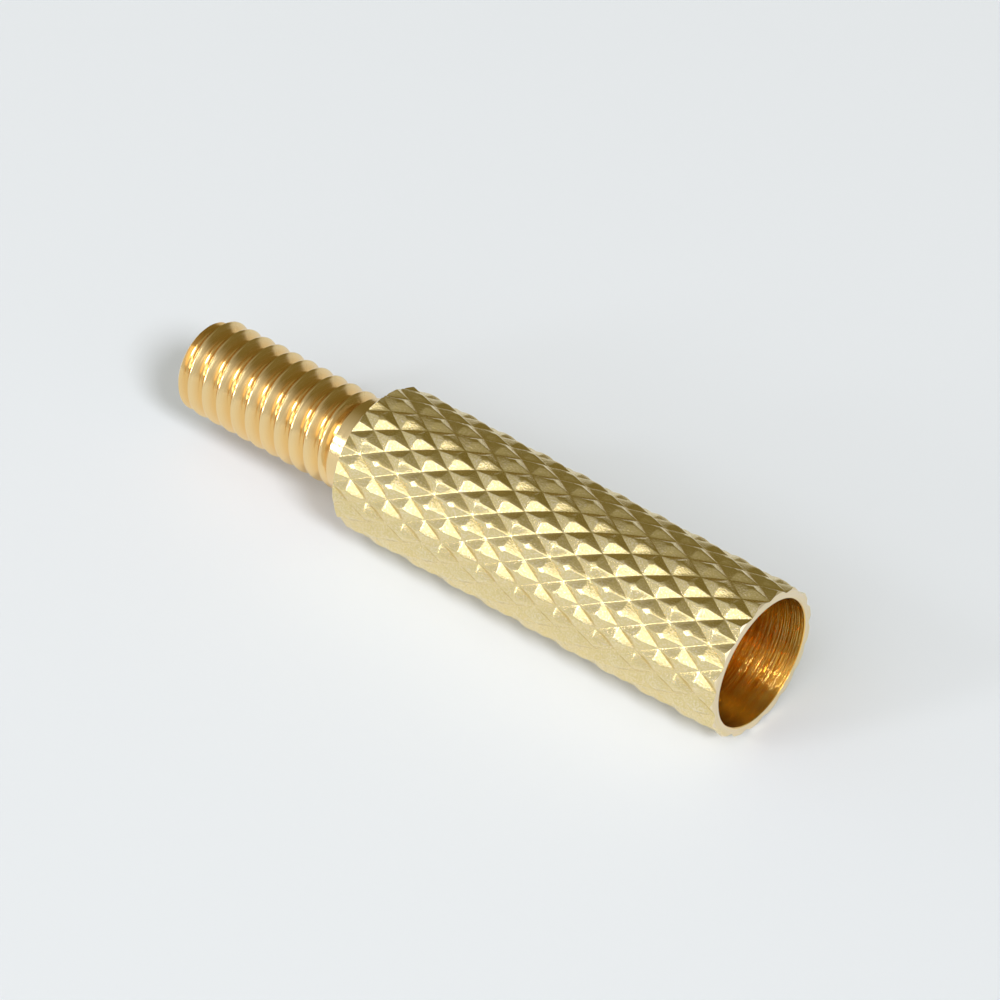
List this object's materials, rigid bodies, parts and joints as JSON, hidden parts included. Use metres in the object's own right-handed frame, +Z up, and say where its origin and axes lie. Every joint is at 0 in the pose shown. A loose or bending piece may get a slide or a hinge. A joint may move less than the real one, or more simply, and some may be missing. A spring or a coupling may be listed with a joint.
{
  "type": "threaded adapter",
  "caption": "Brass adapter with a diamond-knurled cylindrical body, a blind socket in one end and a coaxial threaded stud on the other.",
  "frame": {"origin": "on the axis, in the plane of the shoulder where the stud meets the body", "axes": "+X along the axis, out of the socket's mouth, with the stud toward -X; +Z up with the adapter lying on its side on two rows of knurl tips"},
  "size_m": [0.0286, 0.0064, 0.0064],
  "materials": {
    "brass": "satin, as turned"
  },
  "bodies": {
    "root": {"threaded_adapter": "brass"}
  },
  "joints": []
}
